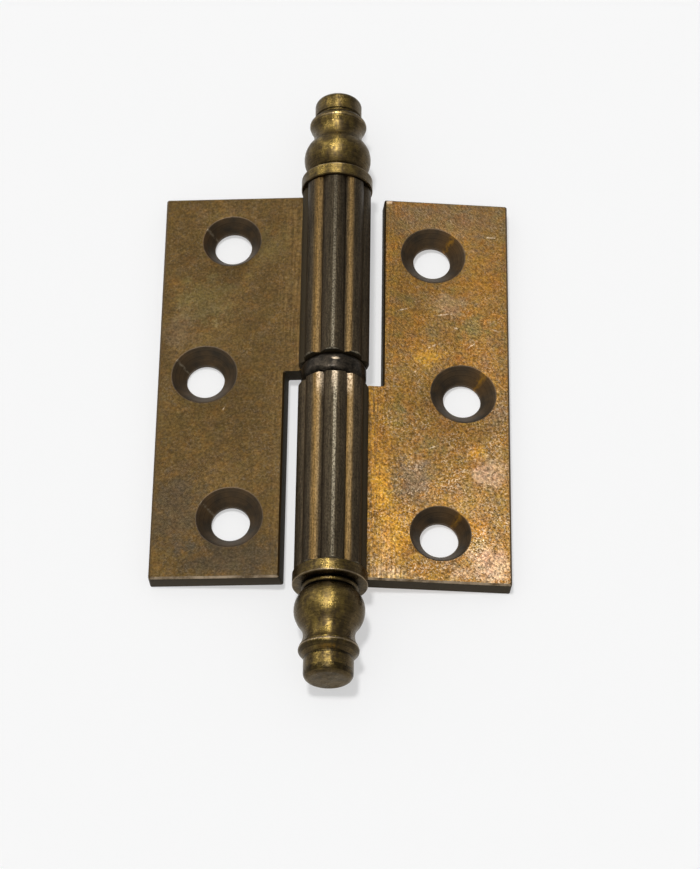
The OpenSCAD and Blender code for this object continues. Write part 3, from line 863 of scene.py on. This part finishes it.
class HINGE_OT_stage(bpy.types.Operator):
    """Sets the table, the light and the camera"""
    bl_idname = "hinge.stage"
    bl_label = "Stage"

    def execute(self, context):
        scene, stage, tones = context.scene, context.scene.hinge_stage, context.scene.hinge_colours
        scene.view_settings.view_transform = "Standard"
        self.table(stage, tones)
        self.room(scene, tones)
        self.lamps()
        self.camera(scene, stage)
        return {"FINISHED"}

    def table(self, stage, tones):
        """A wide pale table at the level that the hinge lies on. Its matt laminate gives the eye an even white with a
        soft shadow."""
        bpy.ops.object.select_all(action="DESELECT")
        bpy.ops.mesh.primitive_plane_add(size=stage.floor_size, location=(0, 0, CAD_BOX[0].z))
        table = bpy.context.active_object
        table.name = "table"
        material = bpy.data.materials.new("matt_white_laminate")
        tree = cleared_tree(material)
        lit = node(tree, "ShaderNodeBsdfDiffuse", {"Color": rgba(tones.table)})
        plain = node(tree, "ShaderNodeEmission", {"Color": rgba(tones.table), "Strength": 1.0})
        path = node(tree, "ShaderNodeLightPath")
        seen = node(tree, "ShaderNodeMath", {
            0: path.outputs["Is Camera Ray"], 1: path.outputs["Is Glossy Ray"],
        }, operation="ADD")
        seen = node(tree, "ShaderNodeMath", {
            0: seen, 1: path.outputs["Is Transmission Ray"],
        }, operation="ADD", use_clamp=True)
        share = node(tree, "ShaderNodeMath", {0: seen, 1: TABLE_GLOW}, operation="MULTIPLY")
        shader = node(tree, "ShaderNodeMixShader", {0: share, 1: lit, 2: plain})
        node(tree, "ShaderNodeOutputMaterial", {"Surface": shader})
        table.data.materials.append(material)

    def room(self, scene, tones):
        """A room that is paler on the left than on the right."""
        scene.world = bpy.data.worlds.new("room")
        tree = cleared_tree(scene.world)
        place = node(tree, "ShaderNodeTexCoord")
        parts = node(tree, "ShaderNodeSeparateXYZ", {0: place.outputs["Generated"]})
        right = node(tree, "ShaderNodeMapRange", {0: parts.outputs["X"], 1: -0.5, 2: 0.5})
        tone = laid_over(tree, rgba(tones.room_left), tones.room_right, right)
        back = node(tree, "ShaderNodeBackground", {"Color": tone, "Strength": 1.0})
        node(tree, "ShaderNodeOutputWorld", {"Surface": back})

    def lamps(self):
        """A lamp on the left that casts the shadows, and two strip lights that the brass mirrors as thin upright
        lines: one behind the hinge and a weaker one on its left."""
        key = bpy.data.lights.new("key", "SUN")
        key.energy = KEY_STRENGTH
        key.angle = KEY_SPREAD
        self.hang(key, Vector(KEY_PLACE))
        for name, place, strength in STRIPS:
            strip = bpy.data.lights.new(name, "AREA")
            strip.shape = "RECTANGLE"
            strip.size, strip.size_y = STRIP_SIZE
            strip.energy = strength
            self.hang(strip, Vector(place)).visible_diffuse = False

    def hang(self, lamp, place):
        """Hangs a lamp so that it shines at the hinge, with its long side along the barrel."""
        holder = bpy.data.objects.new(lamp.name, lamp)
        holder.matrix_world = Matrix.LocRotScale(place, place.to_track_quat("Z", "Y"), None)
        bpy.context.scene.collection.objects.link(holder)
        return holder

    def camera(self, scene, stage):
        """The camera that the photograph was taken with, as fitted to the leaves and the barrel."""
        lens = bpy.data.cameras.new("camera")
        lens.lens = stage.focal_pixels * lens.sensor_width / PHOTO_LONG_SIDE
        lens.clip_start = 10 * MM
        camera = bpy.data.objects.new("camera", lens)
        turn = (
            Matrix.Rotation(stage.azimuth, 4, "Z")
            @ Matrix.Rotation(math.pi / 2 - stage.elevation, 4, "X")
            @ Matrix.Rotation(stage.roll, 4, "Z")
        )
        back = turn @ Vector((0, 0, stage.distance))
        camera.matrix_world = Matrix.Translation(Vector(stage.target) + back) @ turn
        scene.collection.objects.link(camera)
        scene.camera = camera


class HINGE_PT_sidebar(bpy.types.Panel):
    """Lists the steps that dress the hinge"""
    bl_idname = "HINGE_PT_sidebar"
    bl_label = "Hinge"
    bl_space_type = "VIEW_3D"
    bl_region_type = "UI"
    bl_category = "Hinge"

    def draw(self, context):
        for step in STEPS:
            self.layout.operator(step.bl_idname)


STEPS = (HINGE_OT_leaves, HINGE_OT_finials, HINGE_OT_washer, HINGE_OT_pin, HINGE_OT_stage)
GROUPS = {"hinge_sizes": HingeSizes, "hinge_colours": HingeColours, "hinge_stage": HingeStage}
CLASSES = (*GROUPS.values(), *STEPS, HINGE_PT_sidebar)


def register():
    for cls in CLASSES:
        bpy.utils.register_class(cls)
    for name, group in GROUPS.items():
        setattr(bpy.types.Scene, name, bpy.props.PointerProperty(type=group))


def unregister():
    for name in GROUPS:
        delattr(bpy.types.Scene, name)
    for cls in reversed(CLASSES):
        bpy.utils.unregister_class(cls)


def main():
    register()
    bpy.ops.hinge.leaves()
    bpy.ops.hinge.finials()
    bpy.ops.hinge.washer()
    bpy.ops.hinge.pin()
    bpy.ops.hinge.stage()


if __name__ == "__main__":
    main()
